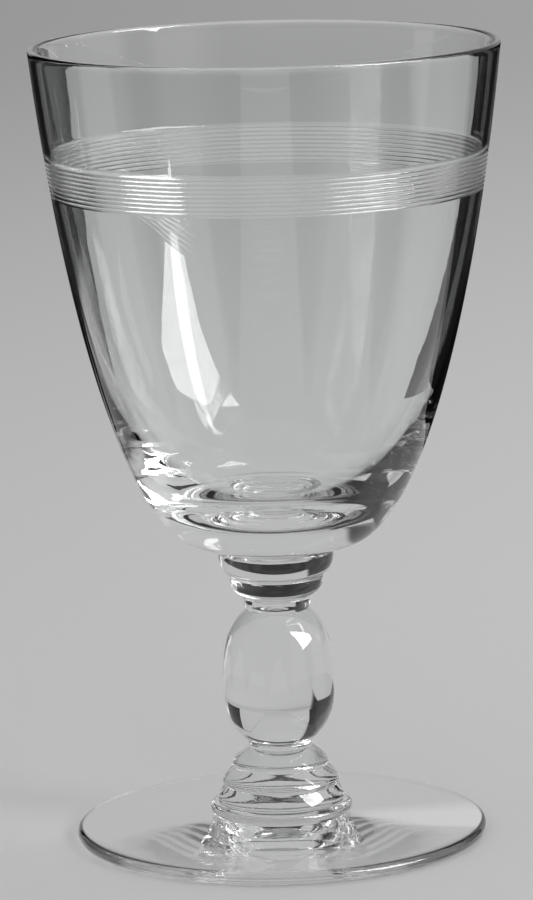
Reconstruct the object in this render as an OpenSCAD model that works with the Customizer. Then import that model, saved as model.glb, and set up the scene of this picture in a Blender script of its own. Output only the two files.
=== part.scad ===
// Water goblet of clear glass: a cut and fire-polished bowl on a ringed, knopped stem and a round foot.
// Five pieces are joined at their necks. Millimetres, standing on the ground plane, axis along Z.

/* [Bowl] */
// Diameter across the lip
rim_d = 90; // [70:1:110]
// Height of the bowl, from its joint with the upper collar to the top of the lip
bowl_h = 98.1; // [80:0.1:130]
// Outward lean of the wall at the lip, in degrees
lip_lean = 6.2; // [0:0.1:12]
// Thickness of the wall at the lip
lip_wall = 1.3; // [0.9:0.05:2.5]
// Thickness of the wall at the heel, where the inside turns into the floor
heel_wall = 5.1; // [3:0.1:7]
// Thickness of the solid glass under the drink, at the axis
floor_wall = 8; // [5:0.1:10]
// Radius of the flat underside, where the belly starts to curve up
underside_r = 13.5; // [12:0.1:16]
// Radius of the joint with the upper collar
bowl_joint_r = 10.4; // [9:0.1:11]
// Height of the small cove between that joint and the underside
cove_h = 1.25; // [0.6:0.05:2]
// How full the belly is, as a share of the width from the underside to the lip
belly_share = 0.49; // [0.35:0.01:0.6]
// How straight the upper wall is, as a share of the height from the underside to the lip
flank_share = 0.487; // [0.3:0.01:0.6]

/* [Cut rings] */
// Number of rings ground round the outside of the bowl
cut_count = 9; // [3:1:12]
// Distance from one ring to the next
cut_pitch = 0.82; // [0.6:0.01:1.2]
// Depth of each ring
cut_depth = 0.2; // [0.1:0.01:0.35]
// Distance from the top of the lip to the topmost ring
cut_drop = 20.6; // [10:0.1:30]

/* [Upper collar] */
// Radius of the widest ring, under the bowl
collar_r1 = 11.2; // [10.8:0.1:12]
// Radius of the middle ring
collar_r2 = 9.1; // [8:0.1:10]
// Radius of the narrowest ring
collar_r3 = 6.5; // [6.3:0.05:7]
// Height of the widest ring
collar_h1 = 4.95; // [4:0.05:7]
// Height of the middle ring
collar_h2 = 4.2; // [3:0.05:5]
// Height of the narrowest ring
collar_h3 = 2.4; // [1.5:0.05:3]

/* [Knop] */
// Radius of the knop at its equator
knop_r = 10.8; // [9:0.1:13]
// Height of the knop, from neck to neck
knop_h = 27.2; // [22:0.05:32]
// Height of the equator above the lower neck
equator_h = 11.35; // [9:0.05:13]
// Radius of the two necks of the stem
neck_r = 6.05; // [5.4:0.05:6.2]
// Slope of the shoulder where it meets the upper neck, in degrees
shoulder_slope = 41; // [20:1:70]

/* [Lower collar] */
// Radius of the top ring, under the knop
bell_r1 = 9.4; // [8.5:0.1:10]
// Radius of the middle ring
bell_r2 = 11.4; // [10.6:0.1:11.8]
// Radius of the bottom ring, on the foot
bell_r3 = 12.3; // [12:0.1:13]
// Height of the top ring
bell_h1 = 3.9; // [3:0.05:5]
// Height of the middle ring
bell_h2 = 3.6; // [3:0.05:5]
// Height of the bottom ring
bell_h3 = 3.4; // [2.5:0.05:4]

/* [Foot] */
// Diameter of the foot
foot_d = 79.8; // [60:0.1:100]
// Thickness of the rounded edge of the foot
edge_h = 2.3; // [1.6:0.05:3]
// Height of the foot where its slope meets the bead
slope_h = 4.2; // [3.2:0.05:5]
// Radius of the bead round the stem
bead_r = 13.8; // [13.1:0.05:15]
// Height of the foot, from the ground to its joint with the lower collar
foot_h = 6.6; // [5.8:0.05:8]
// Width of the flat ring that the goblet stands on
rest_w = 3; // [1.5:0.1:6]
// Depth of the shallow hollow under the foot
hollow_h = 0.6; // [0.3:0.05:1]

/* [Hidden] */

$fn = 128;
// Depth of the pinch between two rings of a collar
pinch_d = 0.35;
// Height of the pinch between two rings of a collar
pinch_h = 0.3;
// Where the heel lies, and how far above it its slope is measured, as shares of the outer curve
heel_share = 0.3;
slope_share = 0.0001;
// How soon the heel thins into the wall
wall_fade = 4.2;
// Points along each long curve, each short curve and each ground ring
long_steps = 28;
short_steps = 9;
cut_steps = 4;
// How soon a ring's side bulges out to its full width, on the upper and on the lower collar
upper_bulge_share = 0.25;
lower_bulge_share = 0.65;
// Pull of the knop's curve at its equator and at its upper neck, as shares of the heights there
upper_pull_share = 0.52;
shoulder_pull_share = 0.34;
lower_pull_share = 0.74;
throat_pull_share = 0.21;
// How far along the foot its slope stays low, as a share of the way from the edge to the bead
sweep_share = 0.45;

foot_r = foot_d / 2;
edge_r = edge_h / 2;
bell_h = bell_h1 + bell_h2 + bell_h3;
collar_h = collar_h1 + collar_h2 + collar_h3;
bell_z = foot_h;
knop_z = bell_z + bell_h;
collar_z = knop_z + knop_h;
bowl_z = collar_z + collar_h;
top_z = bowl_z + bowl_h;

clear_glass = [0.86, 0.88, 0.88, 0.45];
stem_glass = [0.80, 0.83, 0.83, 0.55];

// Points of a curve with one handle and with two, and the slope of the second
function curve2(a, b, c, t) = pow(1 - t, 2) * a + 2 * t * (1 - t) * b + pow(t, 2) * c;
function curve3(a, b, c, d, t) =
    pow(1 - t, 3) * a + 3 * t * pow(1 - t, 2) * b + 3 * pow(t, 2) * (1 - t) * c + pow(t, 3) * d;
function slope3(a, b, c, d, t) =
    3 * pow(1 - t, 2) * (b - a) + 6 * t * (1 - t) * (c - b) + 3 * pow(t, 2) * (d - c);
function unit(v) = v / norm(v);
function left_of(v) = [-v[1], v[0]];
function polar(r, angle) = [r * cos(angle), r * sin(angle)];
function run(steps) = [for (i = [0:steps]) i / steps];

// The side of one collar ring, from its narrow end to its wide end
function ring_side(narrow, wide, bulge) =
    let (handle = [wide[0], narrow[1] + bulge * (wide[1] - narrow[1])])
    [for (t = run(short_steps)) curve2(narrow, handle, wide, t)];

// The bowl's outer curve, its wall and its inner curve, for t from 0 at the underside to 1 at the lip
lip_c = [rim_d / 2 - lip_wall / 2, top_z - lip_wall / 2];
wall_way = polar(1, 90 - lip_lean);
lip_out = lip_c - lip_wall / 2 * left_of(wall_way);
under = [underside_r, bowl_z + cove_h];
belly_pull = under + [belly_share * (lip_out[0] - under[0]), 0];
flank_pull = lip_out - flank_share * (lip_out[1] - under[1]) * wall_way;
function outer(t) = curve3(under, belly_pull, flank_pull, lip_out, t);
function inward(t) = unit(left_of(slope3(under, belly_pull, flank_pull, lip_out, t)));
function wall(t) = lip_wall + (heel_wall - lip_wall) * pow((1 - t) / (1 - heel_share), wall_fade);
function inner(t) = outer(t) + wall(t) * inward(t);

// The inside below the heel: it leaves the heel along the wall and reaches the axis level
heel = inner(heel_share);
heel_way = inner(heel_share + slope_share) - heel;
floor_z = under[1] + floor_wall;
floor_pull = heel - (heel[1] - floor_z) / heel_way[1] * heel_way;

// Where along the outer curve a height lies, found by halving
function at_height(z, low = 0, high = 1, left = 30) =
    let (mid = (low + high) / 2)
    left == 0 ? mid
    : outer(mid)[1] < z ? at_height(z, mid, high, left - 1) : at_height(z, low, mid, left - 1);

// The ground rings: shallow scallops side by side
cut_top = top_z - cut_drop;
cut_low = cut_top - cut_count * cut_pitch;
function cut_point(i) =
    let (t = at_height(cut_low + i * cut_pitch / cut_steps))
    outer(t) + cut_depth * sin(180 * (i % cut_steps) / cut_steps) * inward(t);

module revolved(points) {
    rotate_extrude() polygon(points);
}

module bowl() {
    cut_t0 = at_height(cut_low);
    cut_t1 = at_height(cut_top);
    cove = [for (t = run(short_steps))
        curve2([bowl_joint_r, bowl_z], [bowl_joint_r, under[1]], under, t)];
    belly = [for (u = run(long_steps)) if (u > 0 && u < 1) outer(u * cut_t0)];
    cuts = [for (i = [0:cut_count * cut_steps]) cut_point(i)];
    neck = [for (u = run(short_steps)) if (u > 0) outer(cut_t1 + u * (1 - cut_t1))];
    lip = [for (u = run(short_steps)) if (u > 0 && u < 1)
        lip_c + polar(lip_wall / 2, -lip_lean + 180 * u)];
    inside = [for (u = run(long_steps)) inner(1 - u * (1 - heel_share))];
    floor_line = [for (u = run(short_steps)) if (u > 0) curve2(heel, floor_pull, [0, floor_z], u)];
    color(clear_glass) revolved(concat([[0, bowl_z]], cove, belly, cuts, neck, lip, inside, floor_line));
}

module upper_collar() {
    z3 = collar_z;
    z2 = z3 + collar_h3;
    z1 = z2 + collar_h2;
    ring3 = ring_side([neck_r, z3], [collar_r3, z2 - pinch_h], upper_bulge_share);
    ring2 = ring_side([collar_r3 - pinch_d, z2], [collar_r2, z1 - pinch_h], upper_bulge_share);
    ring1 = ring_side([collar_r2 - pinch_d, z1], [collar_r1, bowl_z - pinch_h], upper_bulge_share);
    color(stem_glass) revolved(concat([[0, z3]], ring3, ring2, ring1, [[bowl_joint_r, bowl_z], [0, bowl_z]]));
}

module knop() {
    equator = [knop_r, knop_z + equator_h];
    low = [neck_r, knop_z];
    high = [neck_r, collar_z];
    above = collar_z - equator[1];
    lower_side = [for (t = run(long_steps))
        curve3(low, low + [0, throat_pull_share * equator_h],
            equator - [0, lower_pull_share * equator_h], equator, t)];
    upper_side = [for (t = run(long_steps)) if (t > 0)
        curve3(equator, equator + [0, upper_pull_share * above],
            high + polar(shoulder_pull_share * above, -shoulder_slope), high, t)];
    color(stem_glass) revolved(concat([[0, knop_z]], lower_side, upper_side, [[0, collar_z]]));
}

module lower_collar() {
    z3 = bell_z;
    z2 = z3 + bell_h3;
    z1 = z2 + bell_h2;
    ring3 = ring_side([bell_r2 - pinch_d, z2], [bell_r3, z3], lower_bulge_share);
    ring2 = ring_side([bell_r1 - pinch_d, z1], [bell_r2, z2 + pinch_h], lower_bulge_share);
    ring1 = ring_side([neck_r, knop_z], [bell_r1, z1 + pinch_h], lower_bulge_share);
    color(stem_glass) revolved(concat([[0, knop_z]], ring1, ring2, ring3, [[0, z3]]));
}

module foot() {
    bead_h = foot_h - slope_h;
    bead_c = [bead_r - bead_h / 2, slope_h + bead_h / 2];
    edge = [for (u = run(short_steps)) [foot_r - edge_r, edge_r] + polar(edge_r, -90 + 180 * u)];
    edge_top = [foot_r - edge_r, edge_h];
    sweep_end = [bead_c[0], slope_h];
    sweep_pull = edge_top + [sweep_share * (sweep_end[0] - edge_top[0]), 0];
    sweep = [for (u = run(long_steps)) if (u > 0) curve2(edge_top, sweep_pull, sweep_end, u)];
    bead = [for (u = run(short_steps)) if (u > 0) bead_c + polar(bead_h / 2, -90 + 180 * u)];
    rest_in = foot_r - edge_r - rest_w;
    hollow = [for (u = run(short_steps)) if (u < 1)
        [rest_in * u, hollow_h * pow(1 - pow(u, 2), 2)]];
    color(clear_glass) revolved(concat(hollow, [[rest_in, 0]], edge, sweep, bead, [[0, foot_h]]));
}

foot();
lower_collar();
knop();
upper_collar();
bowl();
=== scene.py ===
# %% [markdown]
# # A water goblet in clear glass
# A stemmed drinking glass is made of gathers of hot glass that are shaped one after another and
# joined at their necks: the blown bowl, the ringed collar under it, the solid knop, the ringed bell
# and the pressed foot. Clear glass shows only what it bends and mirrors, so this lesson spends its
# care on true walls, closed solids and a set worth bending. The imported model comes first, because
# the outer heights and widths of every piece are read from it.

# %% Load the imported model
import math

import bpy
from mathutils import Matrix, Vector


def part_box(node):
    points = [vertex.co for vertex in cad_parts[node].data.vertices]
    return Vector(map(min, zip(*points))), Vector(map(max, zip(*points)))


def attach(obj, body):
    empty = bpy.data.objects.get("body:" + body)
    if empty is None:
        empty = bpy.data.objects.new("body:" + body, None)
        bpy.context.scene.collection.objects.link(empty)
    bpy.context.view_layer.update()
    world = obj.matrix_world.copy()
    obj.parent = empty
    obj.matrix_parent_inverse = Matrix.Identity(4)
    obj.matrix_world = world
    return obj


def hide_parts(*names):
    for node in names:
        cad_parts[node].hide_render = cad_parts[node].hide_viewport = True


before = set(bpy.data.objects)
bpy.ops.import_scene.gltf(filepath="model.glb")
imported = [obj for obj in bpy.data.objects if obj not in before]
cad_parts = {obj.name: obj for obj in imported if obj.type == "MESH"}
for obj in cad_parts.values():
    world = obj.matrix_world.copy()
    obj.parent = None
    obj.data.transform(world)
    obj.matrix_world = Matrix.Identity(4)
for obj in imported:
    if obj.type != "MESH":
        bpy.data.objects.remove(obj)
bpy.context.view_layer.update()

MM = 0.001
print("CAD nodes:", sorted(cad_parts))

# %% [markdown]
# ## The sizes that the pieces share
# A stem is a stack, so its heights could be typed one by one. Reading them from the boxes of the
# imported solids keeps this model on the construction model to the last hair. Only what a box can't
# tell, such as the thickness of a wall inside it, is named here.

# %% Heights and radii from the frame
def height_of(node):
    """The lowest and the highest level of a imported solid."""
    low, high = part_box(node)
    return low.z, high.z


def radius_of(node):
    """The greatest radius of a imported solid."""
    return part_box(node)[1].x


foot_low, bell_z = height_of("foot")
knop_z, collar_z = height_of("knop")
bowl_z, top_z = height_of("bowl")
foot_r, bell_r, knop_r = radius_of("foot"), radius_of("lower_collar"), radius_of("knop")
collar_r, rim_r = radius_of("upper_collar"), radius_of("bowl")
print(f"rim {2 * rim_r / MM:.1f} mm across, {top_z / MM:.1f} mm high, foot {2 * foot_r / MM:.1f} mm")

# %% [markdown]
# ## Curves for outlines
# Turned and blown forms swell in long even curves. They could be drawn with Blender's curve
# objects, but an outline that is revolved needs only its points, so a few small functions give the
# points of an arc and of a curve with one or two handles.

# %% Points along arcs and curves
def shares(steps):
    """steps + 1 even shares from 0 to 1."""
    return [i / steps for i in range(steps + 1)]


def polar(radius, degrees):
    return Vector((radius * math.cos(math.radians(degrees)), radius * math.sin(math.radians(degrees))))


def curve2(a, b, c, steps):
    return [(1 - t) ** 2 * a + 2 * t * (1 - t) * b + t * t * c for t in shares(steps)]


def on_curve3(a, b, c, d, t):
    return (1 - t) ** 3 * a + 3 * t * (1 - t) ** 2 * b + 3 * t * t * (1 - t) * c + t ** 3 * d


def curve3(a, b, c, d, steps):
    return [on_curve3(a, b, c, d, t) for t in shares(steps)]


def arc(centre, radius, start, turn, steps):
    return [centre + polar(radius, start + turn * t) for t in shares(steps)]


print("a quarter arc ends at", [round(v, 3) for v in arc(Vector((0, 0)), 1, 0, 90, 8)[-1]])

# %% [markdown]
# ## The bowl's wall
# The bowl is blown, so its wall is thin and even at the lip and runs down into a thick floor, where
# the glass settled. Solidify would give one thickness everywhere. Here the outer curve is drawn
# once, and the inner one lies a wall's thickness inside it, with a thickness that fades from the
# heel to the lip. Below the heel the inside rounds off on its own over solid glass, which bends the
# left of the room into the lower right of the bowl.

# %% The bowl's outer and inner curve
lip_wall, heel_wall, floor_wall = 1.3 * MM, 5.1 * MM, 8 * MM
heel_share, wall_fade = 0.3, 4.2
lip_lean = 6.2
belly_share, flank_share = 0.49, 0.487
bowl_joint_r = 10.4 * MM
underside = Vector((13.5 * MM, bowl_z + 1.25 * MM))
lip_centre = Vector((rim_r - lip_wall / 2, top_z - lip_wall / 2))
wall_way = polar(1, 90 - lip_lean)
lip_out = lip_centre + lip_wall / 2 * Vector((wall_way.y, -wall_way.x))
belly_pull = underside + Vector((belly_share * (lip_out.x - underside.x), 0))
flank_pull = lip_out - flank_share * (lip_out.y - underside.y) * wall_way
outer_curve = (underside, belly_pull, flank_pull, lip_out)
NUDGE = 1e-4


def outer(t):
    return on_curve3(*outer_curve, t)


def inward(t):
    """The way from the outer curve into the wall, square to the curve."""
    along = outer(t + NUDGE) - outer(t - NUDGE)
    return Vector((-along.y, along.x)).normalized()


def inner(t):
    left = (1 - t) / (1 - heel_share)
    return outer(t) + (lip_wall + (heel_wall - lip_wall) * left ** wall_fade) * inward(t)


def inside_floor(steps):
    """From the heel to the axis: it leaves the heel along the wall and reaches the axis level."""
    heel, floor_z = inner(heel_share), underside.y + floor_wall
    way = inner(heel_share + NUDGE) - heel
    handle = heel - (heel.y - floor_z) / way.y * way
    return curve2(heel, handle, Vector((0, floor_z)), steps)


print(f"wall {(inner(heel_share) - outer(heel_share)).length / MM:.1f} mm thick at the heel")

# %% [markdown]
# ## The bowl's outline
# The outline runs from the axis under the bowl, up the outside, over the lip and down the inside to
# the axis again. The lip is melted round. The stretch with the ground rings gets its own points,
# eight to a ring, so that the lathe can sink each ring into the wall. Every point carries the name
# of what it lies on: plain wall, a ring, or a joint with the next piece.

# %% The bowl's outline
cut_count, cut_pitch, cut_depth = 9, 0.82 * MM, 0.2 * MM
cut_top = top_z - 20.6 * MM
cut_low = cut_top - cut_count * cut_pitch
HALVINGS = 40
# how many points each stretch of the outline gets, and each ring
STEPS = {"cove": 8, "belly": 90, "ring": 8, "neck": 26, "lip": 14, "inside": 80, "floor": 36}


def at_height(z):
    """Where on the outer curve a height lies, found by halving."""
    low, high = 0.0, 1.0
    for _ in range(HALVINGS):
        middle = (low + high) / 2
        low, high = (middle, high) if outer(middle).y < z else (low, middle)
    return low


def tagged(points, tag="plain"):
    """Outline points with the name of what they lie on."""
    return [(p.x, p.y, tag) for p in points]


def bowl_outline():
    corner = Vector((bowl_joint_r, bowl_z))
    cut_start, cut_end = at_height(cut_low), at_height(cut_top)
    ring_step = cut_pitch / STEPS["ring"]
    ring_points = range(cut_count * STEPS["ring"] + 1)
    cove = curve2(corner, Vector((bowl_joint_r, underside.y)), underside, STEPS["cove"])
    belly = [outer(t * cut_start) for t in shares(STEPS["belly"])]
    rings = [outer(at_height(cut_low + i * ring_step)) for i in ring_points]
    neck = [outer(cut_end + t * (1 - cut_end)) for t in shares(STEPS["neck"])]
    lip = arc(lip_centre, lip_wall / 2, -lip_lean, 180, STEPS["lip"])
    inside = [inner(1 - t * (1 - heel_share)) for t in shares(STEPS["inside"])]
    bottom = inside_floor(STEPS["floor"])
    return (
        tagged([Vector((0, bowl_z)), corner], "joint")
        + tagged(cove[1:] + belly[1:-1])
        + tagged(rings, "ring")
        + tagged(neck[1:] + lip[1:-1] + inside + bottom[1:])
    )


print(f"bowl: {len(bowl_outline())} points, rings from {cut_low / MM:.1f} to {cut_top / MM:.1f} mm")

# %% [markdown]
# ## One ring of a collar
# A collar ring is pinched in with a tool while the glass turns. Its side swells from a narrow neck to
# a wide edge, and the edge rolls over, round from the fire, into the crease before the next ring.
# One set of functions makes a ring, so that every ring of both collars has the same hand in it.

# %% A ring, and a collar of rings
neck_r = 6.05 * MM
pinch_deep, pinch_high = 0.35 * MM, 0.3 * MM
same_point = 0.01 * MM
SIDE_STEPS, EDGE_STEPS = 22, 6


def ring_side(narrow, wide, bulge):
    """The swelling side of a ring. bulge says how far along it stands upright."""
    handle = Vector((wide.x, narrow.y + bulge * (wide.y - narrow.y)))
    return curve2(narrow, handle, wide, SIDE_STEPS)


def ring_edge(wide, crease):
    """The round edge of a ring, from its widest point into the crease beside it."""
    return curve2(wide, Vector((wide.x, crease.y)), crease, EDGE_STEPS)[1:]


def collar_outline(joint_low, joint_high, rings, bulge):
    """rings lists each ring's narrow end, wide end, and the crease after it or None."""
    points = []
    for narrow, wide, crease in rings:
        points += ring_side(narrow, wide, bulge)
        points += ring_edge(wide, crease) if crease else []
    low, high = Vector(joint_low), Vector(joint_high)
    between = [p for p in points if min((p - low).length, (p - high).length) > same_point]
    return (
        tagged([Vector((0, low.y)), low], "joint")
        + tagged(between)
        + tagged([high, Vector((0, high.y))], "joint")
    )


print("each ring has", SIDE_STEPS + 1 + EDGE_STEPS, "points")

# %% [markdown]
# ## The two collars
# The upper collar steps out towards the bowl, and the lower one, the bell, steps out towards the
# foot. They could share one outline, scaled, but the bell is taller and rounder, so each gets its
# own rings. The bell is drawn from its top down, so its outline is turned round at the end.

# %% Outlines of the two collars
small_r, small_h = 6.5 * MM, 2.4 * MM
middle_r, middle_h = 9.1 * MM, 4.2 * MM
bell_middle_r, bell_middle_h = 11.4 * MM, 3.4 * MM
bell_top_r, bell_top_h = 9.4 * MM, 3.6 * MM
collar_bulge, bell_bulge = 0.25, 0.65


def upper_collar_outline():
    small_top = collar_z + small_h
    middle_top = small_top + middle_h
    crease1 = Vector((small_r - pinch_deep, small_top))
    crease2 = Vector((middle_r - pinch_deep, middle_top))
    rings = [
        (Vector((neck_r, collar_z)), Vector((small_r, small_top - pinch_high)), crease1),
        (crease1, Vector((middle_r, middle_top - pinch_high)), crease2),
        (crease2, Vector((collar_r, bowl_z - pinch_high)), None),
    ]
    return collar_outline((neck_r, collar_z), (bowl_joint_r, bowl_z), rings, collar_bulge)


def lower_collar_outline():
    middle_top = bell_z + bell_middle_h
    top_low = middle_top + bell_top_h
    crease1 = Vector((bell_top_r - pinch_deep, top_low))
    crease2 = Vector((bell_middle_r - pinch_deep, middle_top))
    rings = [
        (Vector((neck_r, knop_z)), Vector((bell_top_r, top_low + pinch_high)), crease1),
        (crease1, Vector((bell_middle_r, middle_top + pinch_high)), crease2),
        (crease2, Vector((bell_r, bell_z)), None),
    ]
    return collar_outline((neck_r, knop_z), (bell_r, bell_z), rings, bell_bulge)[::-1]


print("collar outlines:", len(upper_collar_outline()), "and", len(lower_collar_outline()), "points")

# %% [markdown]
# ## The knop
# The knop is a solid egg of glass with its small end up. A sphere with a stretched top would kink at
# the equator. Two curves that both stand upright at the equator meet there without a seam, which
# matters, because the knop is a lens and a kink would show as a line right across it.

# %% The knop's outline
equator_h = 11.35 * MM
shoulder = 41
# how far the two curves keep their way at each end, as shares of their heights, from the bottom up
neck_hold, under_hold, over_hold, shoulder_hold = 0.21, 0.74, 0.52, 0.34
KNOP_STEPS = 50


def knop_outline():
    equator = Vector((knop_r, knop_z + equator_h))
    low, high = Vector((neck_r, knop_z)), Vector((neck_r, collar_z))
    above = collar_z - equator.y
    from_neck = low + Vector((0, neck_hold * equator_h))
    to_equator = equator - Vector((0, under_hold * equator_h))
    from_equator = equator + Vector((0, over_hold * above))
    to_neck = high + polar(shoulder_hold * above, -shoulder)
    lower = curve3(low, from_neck, to_equator, equator, KNOP_STEPS)
    upper = curve3(equator, from_equator, to_neck, high, KNOP_STEPS)
    return (
        tagged([Vector((0, knop_z)), low], "joint")
        + tagged(lower[1:] + upper[1:-1])
        + tagged([high, Vector((0, collar_z))], "joint")
    )


print("knop outline:", len(knop_outline()), "points")

# %% [markdown]
# ## The foot
# The foot is spun out from a gather and pressed: a shallow dome with a rounded edge and a bead where
# it meets the stem. Underneath it is hollowed a little, so that the goblet stands on a narrow ring and
# doesn't rock.

# %% The foot's outline
foot_edge_r, slope_h = 1.15 * MM, 4.2 * MM
bead_r, rest_w, hollow_h = 13.8 * MM, 3 * MM, 0.6 * MM
sweep_share = 0.45
HOLLOW_STEPS, SWEEP_STEPS, ROUND_STEPS = 30, 60, 18


def foot_outline():
    bead_half = (bell_z - slope_h) / 2
    bead_c = Vector((bead_r - bead_half, slope_h + bead_half))
    rest_in = foot_r - foot_edge_r - rest_w
    hollow = [Vector((rest_in * u, hollow_h * (1 - u * u) ** 2)) for u in shares(HOLLOW_STEPS)]
    edge = arc(Vector((foot_r - foot_edge_r, foot_edge_r)), foot_edge_r, -90, 180, ROUND_STEPS)
    sweep_end = Vector((bead_c.x, slope_h))
    sweep_pull = edge[-1] + Vector((sweep_share * (sweep_end.x - edge[-1].x), 0))
    sweep = curve2(edge[-1], sweep_pull, sweep_end, SWEEP_STEPS)
    bead = arc(bead_c, bead_half, -90, 180, ROUND_STEPS)
    joint = [Vector((bell_r, bell_z)), Vector((0, bell_z))]
    return tagged(hollow + edge + sweep[1:] + bead[1:-1]) + tagged(joint, "joint")


print("foot outline:", len(foot_outline()), "points")

# %% [markdown]
# ## A helper for node trees
# Materials and Geometry Nodes are both trees of nodes. Each could be wired line by line, with four
# lines for every node. One helper that adds a node, fills in its inputs and hands back its output
# keeps a tree readable from top to bottom.

# %% Wiring nodes
def add(tree, kind, *inputs, named=None, **settings):
    """Adds a node, fills its sockets in order and by name, and hands back its first output."""
    node = tree.nodes.new(kind)
    for name, value in settings.items():
        setattr(node, name, value)
    filled = list(zip([s for s in node.inputs if s.enabled], inputs))
    filled += [(node.inputs[n], v) for n, v in (named or {}).items()]
    for socket, value in filled:
        if isinstance(value, bpy.types.NodeSocket):
            tree.links.new(value, socket)
        elif value is not None:
            socket.default_value = value
    return [s for s in node.outputs if s.enabled][0] if node.outputs else node


def maths(tree, operation, *inputs):
    return add(tree, "ShaderNodeMath", *inputs, operation=operation)


def product(tree, first, *others):
    """The first value times each of the others in turn."""
    for other in others:
        first = maths(tree, "MULTIPLY", first, other)
    return first


print("helpers ready:", add.__name__, maths.__name__, product.__name__)

# %% [markdown]
# ## The lathe
# Every piece of a goblet is round, so one Geometry Nodes tree can turn them all. Screw or Spin would
# give the same shell, but the tree can also follow rules that depend on the place, such as a ring
# that is ground at every pitch. Its inputs are named, and each piece sets its own sizes with them.

# %% The lathe's inputs
LATHE_INPUTS = {
    "Rounds": ("NodeSocketInt", 256),
    "Ring low": ("NodeSocketFloat", 0.0),
    "Ring pitch": ("NodeSocketFloat", 1.0),
    "Ring depth": ("NodeSocketFloat", 0.0),
    "Wander": ("NodeSocketFloat", 0.0),
    "Wander steps": ("NodeSocketFloat", 3.0),
    "Seed": ("NodeSocketFloat", 0.0),
    "Sharp angle": ("NodeSocketFloat", 0.6),
    "Glass": ("NodeSocketMaterial", None),
    "Seam": ("NodeSocketMaterial", None),
    "Ground": ("NodeSocketMaterial", None),
}


def new_lathe():
    """An empty lathe tree, and the sockets that hand its inputs on."""
    tree = bpy.data.node_groups.new("Lathe", "GeometryNodeTree")
    tree.interface.new_socket("Outline", in_out="INPUT", socket_type="NodeSocketGeometry")
    for name, (kind, value) in LATHE_INPUTS.items():
        socket = tree.interface.new_socket(name, in_out="INPUT", socket_type=kind)
        if value is not None:
            socket.default_value = value
    tree.interface.new_socket("Piece", in_out="OUTPUT", socket_type="NodeSocketGeometry")
    return tree, tree.nodes.new("NodeGroupInput").outputs


print("lathe inputs:", ", ".join(LATHE_INPUTS))

# %% [markdown]
# ## The grid that is turned
# The lathe starts from a flat grid. Row after row goes to the points of the outline, and column
# after column goes round the axis. What a point of the outline carries, its place and its marks, is
# read for a whole row at once with Sample Index.

# %% Rows and columns
def grid_of(tree, outline, rounds):
    """A grid with a row for each outline point, with the row and the angle of each of its points."""
    rows = add(tree, "GeometryNodeAttributeDomainSize", outline, component="MESH")
    columns = maths(tree, "ADD", rounds, 1)
    grid = add(tree, "GeometryNodeMeshGrid", named={"Vertices X": rows, "Vertices Y": columns})
    index = add(tree, "GeometryNodeInputIndex")
    row = maths(tree, "FLOOR", maths(tree, "DIVIDE", index, columns))
    column = maths(tree, "MODULO", index, columns)
    angle = product(tree, maths(tree, "DIVIDE", column, rounds), math.tau)
    return grid, row, angle


def at_row(tree, outline, row, kind, field):
    """The value of a field at this row's point of the outline."""
    return add(tree, "GeometryNodeSampleIndex", outline, field, row, data_type=kind, domain="POINT")


def mark_of(tree, name):
    """The mark of this name on each point, 1 or 0."""
    return add(tree, "GeometryNodeInputNamedAttribute", name, data_type="FLOAT")


def marked(tree, geometry, name, value):
    """The same points with a mark of this name."""
    return add(tree, "GeometryNodeStoreNamedAttribute", geometry, None, name, value, data_type="FLOAT")


print("the bowl's grid will have", LATHE_INPUTS["Rounds"][1] + 1, "columns")

# %% [markdown]
# ## What the hand and the wheel do
# A wheel grinds the rings into the bowl, to a fixed depth at a fixed pitch, and leaves only their
# deeper part matt. The wall itself wanders a few hundredths of a millimetre, as a hand-made wall
# does. That could be a displacement over the finished mesh, but here it has to stop at the joints,
# where two pieces meet face to face. It only goes inwards, so the piece stays within its packed size.

# %% Ground rings and a wandering wall
# matt_from is the share of its depth at which a ring turns matt, climb is how fast the wander changes
# up the wall beside how fast it changes round it, and wander_limit is its most as a share of a radius
matt_from = 0.6
climb = 12.0
wander_limit = 0.01
wander_detail, wander_rough = 2.0, 0.5


def ring_share(tree, height, given):
    """How deep in a ring a height lies, from 0 between two rings to 1 at the bottom of one."""
    above = maths(tree, "SUBTRACT", height, given["Ring low"])
    turns = maths(tree, "DIVIDE", above, given["Ring pitch"])
    return maths(tree, "ABSOLUTE", maths(tree, "SINE", product(tree, turns, math.pi)))


def wander_at(tree, radius, place, on_joint, given):
    """How far the wall wanders inwards at a place, at most a small share of the radius there."""
    noise = add(
        tree, "ShaderNodeTexNoise", place, given["Seed"], given["Wander steps"],
        wander_detail, wander_rough, noise_dimensions="4D",
    )
    wander = product(tree, noise, maths(tree, "SUBTRACT", 1.0, on_joint), given["Wander"])
    return maths(tree, "MINIMUM", wander, product(tree, radius, wander_limit))


print("a ring is matt below", matt_from, "of its depth")

# %% [markdown]
# ## The finish of a turned piece
# The turned grid is still open where its last column meets its first and where its rows shrink to a
# point on the axis. Merging those points closes it. All edges are then smooth but the sharp ones
# round the joints, and each face takes its glass from the marks of its corners.

# %% Closing, smoothing and giving glass
weld = 1e-6
fully_marked = 0.99


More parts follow.
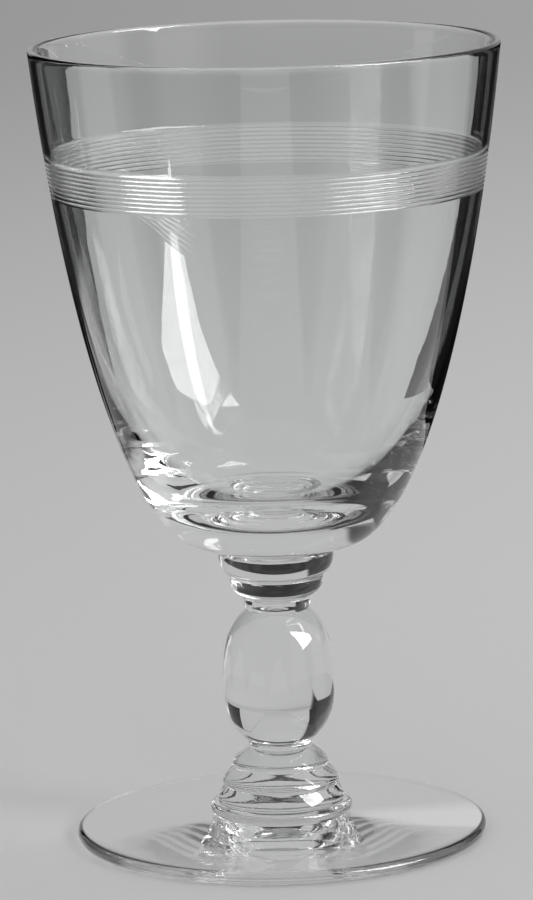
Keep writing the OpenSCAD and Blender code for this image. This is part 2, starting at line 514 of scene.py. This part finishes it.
def finish_lathe(tree, turned, given):
    closed = add(tree, "GeometryNodeMergeByDistance", turned, None, weld)
    closed = add(tree, "GeometryNodeFlipFaces", closed)
    smooth = add(tree, "GeometryNodeSetShadeSmooth", closed, None, True, domain="FACE")
    bend = add(tree, "GeometryNodeInputMeshEdgeAngle")
    soft = add(tree, "FunctionNodeCompare", bend, given["Sharp angle"], operation="LESS_THAN")
    smooth = add(tree, "GeometryNodeSetShadeSmooth", smooth, None, soft, domain="EDGE")
    made = add(tree, "GeometryNodeRealizeInstances", smooth)
    made = add(tree, "GeometryNodeSetMaterial", made, None, given["Glass"])
    for mark, glass in (("joint", "Seam"), ("ring", "Ground")):
        value = mark_of(tree, mark)
        there = add(tree, "FunctionNodeCompare", value, fully_marked, operation="GREATER_THAN")
        made = add(tree, "GeometryNodeSetMaterial", made, there, given[glass])
    add(tree, "NodeGroupOutput", made)


def make_lathe():
    tree, given = new_lathe()
    outline = given["Outline"]
    grid, row, angle = grid_of(tree, outline, given["Rounds"])
    cosine, sine = maths(tree, "COSINE", angle), maths(tree, "SINE", angle)
    spot = at_row(tree, outline, row, "FLOAT_VECTOR", add(tree, "GeometryNodeInputPosition"))
    axes = add(tree, "ShaderNodeSeparateXYZ", spot).node.outputs
    radius, height = axes["X"], axes["Z"]
    on_ring = at_row(tree, outline, row, "FLOAT", mark_of(tree, "ring"))
    on_joint = at_row(tree, outline, row, "FLOAT", mark_of(tree, "joint"))

    scallop = ring_share(tree, height, given)
    cut = maths(tree, "SUBTRACT", radius, product(tree, scallop, given["Ring depth"], on_ring))
    place = add(tree, "ShaderNodeCombineXYZ", cosine, sine, product(tree, height, climb))
    turned = maths(tree, "SUBTRACT", cut, wander_at(tree, cut, place, on_joint, given))
    x, y = product(tree, turned, cosine), product(tree, turned, sine)
    deep = product(tree, on_ring, maths(tree, "GREATER_THAN", scallop, matt_from))
    points = marked(tree, marked(tree, grid, "joint", on_joint), "ring", deep)
    position = add(tree, "ShaderNodeCombineXYZ", x, y, height)
    finish_lathe(tree, add(tree, "GeometryNodeSetPosition", points, None, position), given)
    return tree


lathe = make_lathe()
print("lathe tree:", len(lathe.nodes), "nodes")

# %% [markdown]
# ## Clear glass
# Clear glass has no colour of its own to speak of. What tells it from plastic is how cleanly it
# bends and mirrors, so the surface gets its one true number, the refractive index, and hardly any
# roughness. A hand-made wall isn't a perfect mirror, though: it keeps faint upright draw marks and
# a few smudges from hands, which a stretched noise gives as bump and another as roughness.

# %% The clear glass material
GLASS_IOR = 1.52
clear_tint, foot_tint = (0.975, 0.985, 0.982), (0.94, 0.947, 0.945)
smudge_scale, smudge_detail, mark_detail = 60, 4, 3


def new_material(name):
    material = bpy.data.materials.new(name)
    material.use_nodes = True
    tree = material.node_tree
    return material, tree, tree.nodes["Principled BSDF"]


def glass_shader(name, tint, clearness):
    """A material whose shader lets this share of the light through, with its tree and shader."""
    material, tree, shader = new_material(name)
    shader.inputs["Base Color"].default_value = (*tint, 1)
    shader.inputs["Transmission Weight"].default_value = clearness
    shader.inputs["IOR"].default_value = GLASS_IOR
    return material, tree, shader


def own_place(tree):
    """A place on the piece, in the piece's own space."""
    return tree.nodes.new("ShaderNodeTexCoord").outputs["Object"]


def object_noise(tree, stretch, scale, detail):
    """Noise in the piece's own space, stretched by the three factors."""
    mapped = add(tree, "ShaderNodeMapping", named={"Vector": own_place(tree), "Scale": stretch})
    return add(tree, "ShaderNodeTexNoise", named={"Vector": mapped, "Scale": scale, "Detail": detail})


def roughen(tree, shader, noise, low, high, smooth, rough):
    """Roughness that follows a noise: smooth where it is low, rough where it is high."""
    roughness = add(tree, "ShaderNodeMapRange", noise, low, high, smooth, rough)
    tree.links.new(roughness, shader.inputs["Roughness"])


def dent(tree, shader, noise, strength, depth):
    bump = add(tree, "ShaderNodeBump", named={"Strength": strength, "Distance": depth, "Height": noise})
    tree.links.new(bump, shader.inputs["Normal"])


def clear_glass(name, stretch, scale, depth, tint):
    material, tree, shader = glass_shader(name, tint, 1)
    smudges = object_noise(tree, (1, 1, 1), smudge_scale, smudge_detail)
    roughen(tree, shader, smudges, 0.5, 0.8, 0.0, 0.03)
    dent(tree, shader, object_noise(tree, stretch, scale, mark_detail), 1.0, depth)
    return material


bowl_glass = clear_glass("blown glass", (1, 1, 0.12), 260, 0.006 * MM, clear_tint)
stem_glass = clear_glass("tooled glass", (0.3, 0.3, 1), 420, 0.012 * MM, clear_tint)
foot_glass = clear_glass("pressed glass", (1, 1, 1), 130, 0.01 * MM, foot_tint)
print("clear glass:", bowl_glass.name, stem_glass.name, foot_glass.name)

# %% [markdown]
# ## Fused seams and ground rings
# Where two gathers are joined hot, no surface is left between them. Each solid here is still closed,
# so the joint's two discs lie face to face, and a material that lets everything pass makes the stem
# one glass to the eye. The ground rings are the opposite: a stone has torn the surface, which is
# matt and grey, so it scatters the light that passes and a part of it comes back white.

# %% The seam and ground glass materials
def to_surface(tree, shader):
    tree.links.new(shader, tree.nodes["Material Output"].inputs["Surface"])


seam_glass, tree, shader = new_material("fused seam")
tree.nodes.remove(shader)
to_surface(tree, add(tree, "ShaderNodeBsdfTransparent", (1, 1, 1, 1)))

ground_tint, ground_clearness = (0.86, 0.87, 0.87), 0.85
grain_scale, grain_detail = 2200, 3
ground_glass, tree, shader = glass_shader("ground glass", ground_tint, ground_clearness)
grain = object_noise(tree, (1, 1, 1), grain_scale, grain_detail)
roughen(tree, shader, grain, 0.3, 0.7, 0.15, 0.25)
dent(tree, shader, grain, 0.2, 0.01 * MM)
print("made:", seam_glass.name, "and", ground_glass.name)

# %% [markdown]
# ## Turning the pieces
# An outline goes into the lathe as a wire of points that carry their marks. The inputs of the
# modifier are set by identifier before the object is first evaluated, the evaluated result becomes a
# plain mesh, and the modifier is dropped. Each piece then rides on the model's one body and stands
# in for its imported solid, which is hidden.

# %% The pieces
def outline_mesh(name, outline):
    mesh = bpy.data.meshes.new(name)
    wire = [(i, i + 1) for i in range(len(outline) - 1)]
    mesh.from_pydata([(r, 0, z) for r, z, _ in outline], wire, [])
    for mark in ("ring", "joint"):
        layer = mesh.attributes.new(mark, "FLOAT", "POINT")
        layer.data.foreach_set("value", [float(tag == mark) for _, _, tag in outline])
    return mesh


def turn(name, outline, node, glass, **inputs):
    """A finished piece, turned from its outline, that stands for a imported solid."""
    blank = bpy.data.objects.new(name + " outline", outline_mesh(name, outline))
    bpy.context.scene.collection.objects.link(blank)
    modifier = blank.modifiers.new("lathe", "NODES")
    modifier.node_group = lathe
    values = {"Glass": glass, "Seam": seam_glass, "Ground": ground_glass, **inputs}
    for item in lathe.interface.items_tree:
        if item.in_out == "INPUT" and item.name in values:
            modifier[item.identifier] = values[item.name]
    evaluated = blank.evaluated_get(bpy.context.evaluated_depsgraph_get())
    mesh = bpy.data.meshes.new_from_object(evaluated)
    bpy.data.objects.remove(blank)
    mesh.materials.pop(index=0)  # the empty slot that the bare outline had
    piece = bpy.data.objects.new(name, mesh)
    bpy.context.scene.collection.objects.link(piece)
    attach(piece, "root")
    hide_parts(node)
    return piece


bowl_wander, bowl_wander_steps = 0.08 * MM, 2.5
ring_inputs = {"Ring low": cut_low, "Ring pitch": cut_pitch, "Ring depth": cut_depth}
bowl_inputs = {**ring_inputs, "Wander": bowl_wander, "Wander steps": bowl_wander_steps, "Seed": 3.0}
stem = {"glass": stem_glass, "Rounds": 192}
pieces = [
    turn("bowl_glass", bowl_outline(), "bowl", bowl_glass, **bowl_inputs),
    turn("upper_collar_glass", upper_collar_outline(), "upper_collar", Seed=5.0, **stem),
    turn("knop_glass", knop_outline(), "knop", Seed=7.0, **stem),
    turn("lower_collar_glass", lower_collar_outline(), "lower_collar", Seed=9.0, **stem),
    turn("foot_glass", foot_outline(), "foot", foot_glass, Seed=11.0),
]
for piece in pieces:
    print(piece.name, len(piece.data.vertices), "vertices,", [m.name for m in piece.data.materials])

# %% [markdown]
# ## The camera
# The photograph was taken from a little above, through a long lens, so that the lip and the foot
# show as narrow ellipses. Its lens and place were worked out from those two ellipses and the
# heights between them. The camera leans a little, and the goblet's axis lies just right of the
# middle. Blender could aim it with a Track To constraint, but a matrix of its three directions
# gives the lean as well.

# %% The camera
IMAGE_H = 900
focal_px = 4900
camera_distance, camera_height = 928 * MM, 247.3 * MM
pitch, roll = 0.1828, math.radians(1.37)
axis_right_px = 7

data = bpy.data.cameras.new("camera")
data.sensor_fit = "VERTICAL"
data.sensor_height = 36
data.lens = focal_px * data.sensor_height / IMAGE_H
yaw = math.atan(axis_right_px / focal_px)
ahead = Vector((-math.sin(yaw) * math.cos(pitch), math.cos(yaw) * math.cos(pitch), -math.sin(pitch)))
level = Vector((math.cos(yaw), math.sin(yaw), 0))
upright = level.cross(ahead)
right = math.cos(roll) * level - math.sin(roll) * upright
up = math.sin(roll) * level + math.cos(roll) * upright
camera = bpy.data.objects.new("camera", data)
camera.matrix_world = Matrix.Translation((0, -camera_distance, camera_height)) @ Matrix(
    (right, up, -ahead)
).transposed().to_4x4()
bpy.context.scene.collection.objects.link(camera)
bpy.context.scene.camera = camera
print(f"lens {data.lens:.0f} mm")

# %% [markdown]
# ## The set: what the glass sees
# Glass photographs as the room around it, bent. A pale table alone makes it vanish, and the classic
# answer is a pale field behind the glass with the dark close on both sides of it: the wall bends the
# dark into its edges and draws its own outline. The room here is bright on the right, where the
# light comes from, and dark on the left and behind the camera. Only rays that come off or through
# glass see it so. The camera itself sees a plain pale floor, lit evenly, with a painted pool of light
# in its paper. The tones could be painted on a backdrop, but a ramp over the compass bearing serves
# floor and walls alike.

# %% The tones of the room
pale, bright = 0.5, 0.7
dusk, dark, black = 0.1, 0.05, 0.012
# tones by compass bearing: 0 is straight behind the goblet, and it grows to the right
ROOM_TONES = [
    (-180, dark), (-160, dark), (-150, black), (-27, black),
    (-24, pale), (66, pale), (80, bright), (98, bright),
    (107, dusk), (117, dusk), (125, pale), (140, pale), (160, dark), (180, dark),
]


def compass(tree, place):
    """The bearing of a place or direction round the goblet, and its reach from the axis."""
    axes = add(tree, "ShaderNodeSeparateXYZ", place).node.outputs
    x, y = axes["X"], axes["Y"]
    squares = maths(tree, "ADD", product(tree, x, x), product(tree, y, y))
    return maths(tree, "ARCTAN2", x, y), maths(tree, "SQRT", squares)


def step_up(tree, value, low, high, bottom=0.0, top=1.0):
    """A soft step of a value, from bottom below low to top above high."""
    ends = (low, high, bottom, top)
    return add(tree, "ShaderNodeMapRange", value, *ends, interpolation_type="SMOOTHSTEP")


def room_tone(tree, bearing):
    """How bright the room is at a bearing."""
    share_of_turn = add(tree, "ShaderNodeMapRange", bearing, -math.pi, math.pi, 0.0, 1.0)
    ramp = add(tree, "ShaderNodeValToRGB", share_of_turn).node
    stops = ramp.color_ramp.elements
    while len(stops) < len(ROOM_TONES):
        stops.new(0.5)
    for stop, (degrees, tone) in zip(stops, ROOM_TONES):
        stop.position = (degrees + 180) / 360
        stop.color = (tone, tone, tone, 1)
    return ramp.outputs["Color"]


print(len(ROOM_TONES), "tones round the room")

# %% [markdown]
# ## Pale lanes, and rays from the glass
# From the side and the back the goblet needs a pale field behind it too, with the dark beside it. So
# a pale lane leaves it at every quarter turn, and a short one at every eighth. Folding the bearing
# with Ping-Pong gives all lanes from one rule. Light Path tells a ray that the camera sends through
# the glass from one that lights the floor.

# %% Lanes and the rays that see them
QUARTER, EIGHTH = math.radians(90), math.radians(45)
lane_half, lane_spread, lane_soft = 0.035, 0.13, 0.004


def beyond_lane(tree, bearing, reach, turn):
    """How far a place lies outside the nearest lane, less than 0 inside it. turn is between lanes."""
    folded = maths(tree, "PINGPONG", bearing, turn / 2)
    aside = product(tree, reach, maths(tree, "SINE", folded))
    along = product(tree, reach, maths(tree, "COSINE", folded))
    edge = maths(tree, "ADD", lane_half, product(tree, along, lane_spread))
    return maths(tree, "SUBTRACT", aside, edge)


def on_lane(tree, bearing, reach, turn):
    """1 on a lane and 0 beside it."""
    return step_up(tree, beyond_lane(tree, bearing, reach, turn), -lane_soft, lane_soft, 1.0, 0.0)


def through_glass(tree):
    """1 for what the camera sees off or through glass, and 0 for light on its way to the floor."""
    path = tree.nodes.new("ShaderNodeLightPath").outputs
    off_glass = maths(tree, "MAXIMUM", path["Is Glossy Ray"], path["Is Transmission Ray"])
    return product(tree, off_glass, maths(tree, "LESS_THAN", path["Diffuse Depth"], 0.5))


print("lanes every", math.degrees(QUARTER), "degrees, short ones every", math.degrees(EIGHTH))

# %% [markdown]
# ## Paper and glow
# The set needs two finishes, matt paper that takes shadows and an even glow. Both are used more than
# once, so each gets a small function.

# %% The finishes of the set
def matt_paper(name):
    """A material without any gloss, with its tree and shader."""
    material, tree, shader = new_material(name)
    shader.inputs["Roughness"].default_value = 0.9
    shader.inputs["Specular IOR Level"].default_value = 0.0
    return material, tree, shader


def paint(tree, shader, tone):
    """Paints a shader in a grey that may change from place to place."""
    grey = add(tree, "ShaderNodeCombineColor", tone, tone, tone)
    tree.links.new(grey, shader.inputs["Base Color"])


def glow(tree, strength):
    return add(tree, "ShaderNodeEmission", (1, 1, 1, 1), strength)


def glow_material(name, strength):
    material, tree, shader = new_material(name)
    tree.nodes.remove(shader)
    to_surface(tree, glow(tree, strength))
    return material


print("finishes ready:", matt_paper.__name__, glow_material.__name__)

# %% [markdown]
# ## The floor
# The floor is a plain pale sheet a hair below the foot. A disc is enough, since nothing of it shows
# but its colour and the shadow on it. A pool of light is painted into its paper: painted shade darkens
# it a little with the distance and towards the left. Rays from the glass see the same paper as an even
# glow, without the lamp's light: pale near the goblet, on the lanes and where the room is bright, and
# lifted a little far off, so that no dark line is left where the floor meets the walls.

# %% The floor's tones
floor_gap, floor_r = 0.2 * MM, 12.0
table_r, table_soft = 0.15, 0.07
short_lane, short_soft = 0.4, 0.1
floor_pale, near_glow = 0.66, 0.5
# how the painted pool of light falls off: with the reach, and from the right to the left of the floor
fall_near, fall_far, far_share = 0.15, 1.6, 0.7
side_reach, left_share, right_share = 0.3, 0.92, 1.1
lift_near, lift_far, lift = 1.2, 2.4, 1.27


def fades_out(tree, reach, edge, soft):
    """1 nearer than an edge and 0 beyond it, with a soft border."""
    return step_up(tree, reach, edge * (1 - soft), edge * (1 + soft), 1.0, 0.0)


def seen_from_glass(tree, bearing, reach):
    """How pale the floor is to a ray from the glass: 1 is as pale as the field behind the goblet."""
    near = fades_out(tree, reach, table_r, table_soft)
    short_end = fades_out(tree, reach, short_lane, short_soft)
    short = product(tree, on_lane(tree, bearing, reach, EIGHTH), short_end)
    lane = maths(tree, "MAXIMUM", on_lane(tree, bearing, reach, QUARTER), short)
    lit = maths(tree, "DIVIDE", room_tone(tree, bearing), pale)
    return maths(tree, "MAXIMUM", maths(tree, "MAXIMUM", near, lane), lit)


def pool_of_light(tree, place, reach):
    """The painted pool of light in the floor's paper: how it falls off with the distance and from right
    to left.
    """
    across = add(tree, "ShaderNodeSeparateXYZ", place).node.outputs["X"]
    fall = step_up(tree, reach, fall_near, fall_far, 1.0, far_share)
    side = step_up(tree, across, -side_reach, side_reach, left_share, right_share)
    return product(tree, fall, side)


print("floor", floor_r * 2, "m across")

# %% The floor
floor_at = (0, 0, foot_low - floor_gap)
bpy.ops.mesh.primitive_circle_add(vertices=96, radius=floor_r, fill_type="NGON", location=floor_at)
floor = bpy.context.object
floor.name = "floor"
paper, tree, shader = matt_paper("pale floor")
place = own_place(tree)
bearing, reach = compass(tree, place)
pool = pool_of_light(tree, place, reach)
# the paper's grey is painted with the pool of light: painted shade far off and towards the left
paint(tree, shader, product(tree, pool, floor_pale))
lifted = product(tree, pool, step_up(tree, reach, lift_near, lift_far, 1.0, lift))
shine = glow(tree, product(tree, seen_from_glass(tree, bearing, reach), lifted, near_glow))
to_surface(tree, add(tree, "ShaderNodeMixShader", through_glass(tree), shader.outputs["BSDF"], shine))
floor.data.materials.append(paper)
print(floor.name, "made, with", len(tree.nodes), "nodes in its paper")

# %% [markdown]
# ## The world
# The world is the far end of the same room. The camera sees it pale, with painted shade that darkens
# it towards the floor's edge, where it meets the floor's painted falloff of light. Rays from glass see
# the room's tones on its walls, a little darker at their foot, with a ceiling over them and a low pale
# panel at the end of each lane. Everything else is lit by it softly and evenly.

# %% The world
ambient, ceiling, far_tone = 0.69, 0.4, 0.33
panel_half, panel_top, panel_soft = math.radians(7), math.sin(math.radians(5)), 0.1
wall_foot, wall_foot_top = 0.88, math.sin(math.radians(7))
ceiling_low, ceiling_high = math.sin(math.radians(52)), math.sin(math.radians(64))
horizon_shade_top = math.sin(math.radians(20))

world = bpy.data.worlds.new("studio")
bpy.context.scene.world = world
world.use_nodes = True
tree = world.node_tree
tree.nodes.clear()
direction = tree.nodes.new("ShaderNodeTexCoord").outputs["Generated"]
bearing, _ = compass(tree, direction)
rise = add(tree, "ShaderNodeSeparateXYZ", direction).node.outputs["Z"]
panel_side = fades_out(tree, maths(tree, "PINGPONG", bearing, QUARTER / 2), panel_half, panel_soft)
panel = product(tree, panel_side, fades_out(tree, rise, panel_top, panel_soft), pale)
walls = maths(tree, "MAXIMUM", room_tone(tree, bearing), panel)
# the walls are a little darker at their foot: painted shade that meets the far floor
walls = product(tree, walls, step_up(tree, rise, 0.0, wall_foot_top, wall_foot, 1.0))
overhead = step_up(tree, rise, ceiling_low, ceiling_high)
for_glass = add(tree, "ShaderNodeMix", overhead, walls, ceiling, data_type="FLOAT")
# darker towards the horizon for the camera: painted shade that meets the floor's painted falloff of
# light
horizon_shade = step_up(tree, rise, 0.0, horizon_shade_top, far_tone, pale)
to_camera = tree.nodes.new("ShaderNodeLightPath").outputs["Is Camera Ray"]
plain = add(tree, "ShaderNodeMix", to_camera, ambient, horizon_shade, data_type="FLOAT")
strength = add(tree, "ShaderNodeMix", through_glass(tree), plain, for_glass, data_type="FLOAT")
add(tree, "ShaderNodeOutputWorld", add(tree, "ShaderNodeBackground", (1, 1, 1, 1), strength))
print("world:", len(tree.nodes), "nodes")

# %% [markdown]
# ## Cards for the glass alone
# A photographer shapes the darks in a glass with cards just outside the picture. Here they could be
# real boards, but they would then show in the views from other sides and darken the floor. So the
# cards are seen only by rays off and through the glass. Their corners are given by bearing and
# reach, as one would pace them out round the goblet.

# %% Flat cards
def for_glass_only(item):
    """Lets an object be seen by rays off and through glass and by nothing else."""
    item.visible_camera = item.visible_diffuse = item.visible_shadow = False


def flat_sheet(name, corners, material):
    """A one-faced sheet with these corners that only the glass sees."""
    mesh = bpy.data.meshes.new(name)
    mesh.from_pydata(corners, [], [range(len(corners))])
    mesh.materials.append(material)
    item = bpy.data.objects.new(name, mesh)
    bpy.context.scene.collection.objects.link(item)
    for_glass_only(item)


def bearing_point(reach, degrees):
    return reach * math.sin(math.radians(degrees)), reach * math.cos(math.radians(degrees))


def flat_card(name, corners, level, material):
    flat_sheet(name, [(x, y, level) for x, y in corners], material)


print("a card's corner 1 m off at 30 degrees:", [round(v, 3) for v in bearing_point(1, 30)])

# %% [markdown]
# ## The black cards
# The edges of the bowl need the dark close behind them, but the knop under it has to stay clear. So
# a black card hangs on each side, level with the top of the stem: the bowl looks down on it, and the
# knop looks out below it, at its underside, a sheet that glows pale as painted light in place of lit
# paper. The cards leave a field between them that widens with the distance, as the camera's view does.

# %% The black cards
card_z, card_far = 58 * MM, 1.8
underside_drop = 0.5 * MM
black_near, black_far = (0.3, 0.012), (1.2, 0.004)
# each card: its hand, where its inner edge leaves the axis and how that edge spreads, the bearings of
# the outer edges of the black and of the glow, and the reaches where the black and the glow begin
CARDS = {
    "left card": (-1, 0.045, 0.09, 32, 24, 0.105, 0.15),
    "right card": (1, 0.025, 0.165, 62, 36, 0.08, 0.08),
}


def edge_point(reach, hand, half, spread):
    """The point at this reach on a line that starts half aside of the axis and spreads on its way."""
    a = 1 + spread ** 2
    along = (math.sqrt((half * spread) ** 2 - a * (half ** 2 - reach ** 2)) - half * spread) / a
    return hand * (half + spread * along), along


def card_corners(hand, half, spread, degrees, near):
    """The four corners of a card between its inner edge and a bearing."""
    inner_edge = [edge_point(reach, hand, half, spread) for reach in (near, card_far)]
    return inner_edge + [bearing_point(reach, hand * degrees) for reach in (card_far, near)]


black_card, tree, shader = matt_paper("black card")
_, reach = compass(tree, own_place(tree))
(near, near_tone), (far, far_card_tone) = black_near, black_far
paint(tree, shader, step_up(tree, reach, near, far, near_tone, far_card_tone))
# the underside glows pale: painted light standing in for the lit underside of a card
glowing_underside = glow_material("glowing underside", pale)
for name, (hand, half, spread, degrees, glow_degrees, near, glow_near) in CARDS.items():
    black_corners = card_corners(hand, half, spread, degrees, near)
    glow_corners = card_corners(hand, half, spread, glow_degrees, glow_near)
    flat_card(f"{name} top", black_corners, card_z, black_card)
    flat_card(f"{name} underside", glow_corners, card_z - underside_drop, glowing_underside)
print("cards", card_z / MM, "mm up:", ", ".join(CARDS))

# %% [markdown]
# ## The black strip
# The rings of the upper collar look up and out from under the bowl and catch a dark band each. A
# narrow black strip behind the collar gives them that. It is black only from below and lets
# everything through from above, so that the bowl doesn't see it: Backfacing tells the sides apart.

# %% The black strip
strip_z, strip_in, strip_out = 57.5 * MM, 0.029, 0.052
strip_degrees, strip_step, strip_tone = 40, 4, 0.01
one_sided, tree, shader = new_material("black from below")
tree.nodes.remove(shader)
from_below = tree.nodes.new("ShaderNodeNewGeometry").outputs["Backfacing"]
sides = (add(tree, "ShaderNodeBsdfTransparent"), glow(tree, strip_tone))
to_surface(tree, add(tree, "ShaderNodeMixShader", from_below, *sides))
bearings = list(range(-strip_degrees, strip_degrees + strip_step, strip_step))
strip = [bearing_point(strip_in, d) for d in bearings]
strip += [bearing_point(strip_out, d) for d in bearings[::-1]]
flat_card("black strip", strip, strip_z, one_sided)
print("strip with", len(strip), "corners")

# %% [markdown]
# ## The light
# The light stands high on the right, nearer the camera than the goblet. The concave far wall of the
# bowl mirrors it as a long white flame. An area lamp could only be a rectangle or an ellipse, and the
# flame has slanting sides, so what the glass mirrors is a glowing sheet. Its corners are given as the
# goblet sees them. The light that falls on the floor comes from a soft lamp in the same place.

# %% The light sheets
light_distance = 2.6
# each sheet: its radiance, and its corners by bearing from the camera's side and height, in degrees
LIGHT_SHEETS = {
    "key light": (16, [(57, 10), (88, 17), (88, 25), (34, 46)]),
    "small light": (8, [(77, 31), (82, 37), (87.5, 45), (88, 51), (80, 57), (77, 44), (76, 36)]),
    "low strip": (1.5, [(105, 7), (113, 7), (113, 15), (105, 15)]),
}


def set_point(degrees, height):
    """A point of the set: its bearing, 0 on the camera's side, grows to the right, and its height."""
    a, e = math.radians(degrees), math.radians(height)
    way = Vector((math.sin(a) * math.cos(e), -math.cos(a) * math.cos(e), math.sin(e)))
    return Vector((0, 0, top_z / 2)) + light_distance * way


for name, (radiance, corners) in LIGHT_SHEETS.items():
    flat_sheet(name, [set_point(*corner) for corner in corners], glow_material(name, radiance))
print("light sheets:", ", ".join(LIGHT_SHEETS))

# %% [markdown]
# ## The soft lamp
# One soft lamp lights the floor and gives the goblet its faint shadow. Rays from the glass don't see
# it, because they see the sheets.

# %% The soft lamp
lamp_w, lamp_h, lamp_radiance = 0.8, 0.5, 10
lamp_bearing, lamp_height = 58, 30
lamp_data = bpy.data.lights.new("soft lamp", "AREA")
lamp_data.shape = "RECTANGLE"
lamp_data.size, lamp_data.size_y = lamp_w, lamp_h
lamp_data.energy = lamp_radiance * math.pi * lamp_w * lamp_h
lamp = bpy.data.objects.new("soft lamp", lamp_data)
lamp.location = set_point(lamp_bearing, lamp_height)
lamp.rotation_euler = (-lamp.location).to_track_quat("-Z", "Y").to_euler()
lamp.visible_camera = lamp.visible_glossy = lamp.visible_transmission = False
bpy.context.scene.collection.objects.link(lamp)
print(f"lamp of {lamp_data.energy:.1f} W")

# %% [markdown]
# ## Long light paths, and colours as they are written
# Light runs round inside the bell and the foot many times before it leaves them, and a path that is
# cut off short ends in black. So Cycles may follow a path for longer than it does by default. The
# Standard view shows each colour as it is written.

# %% Light paths and colours
bpy.context.scene.cycles.glossy_bounces = 16
bpy.context.scene.cycles.transmission_bounces = 24
bpy.context.scene.cycles.max_bounces = 32
bpy.context.scene.view_settings.view_transform = "Standard"
print("view transform:", bpy.context.scene.view_settings.view_transform)
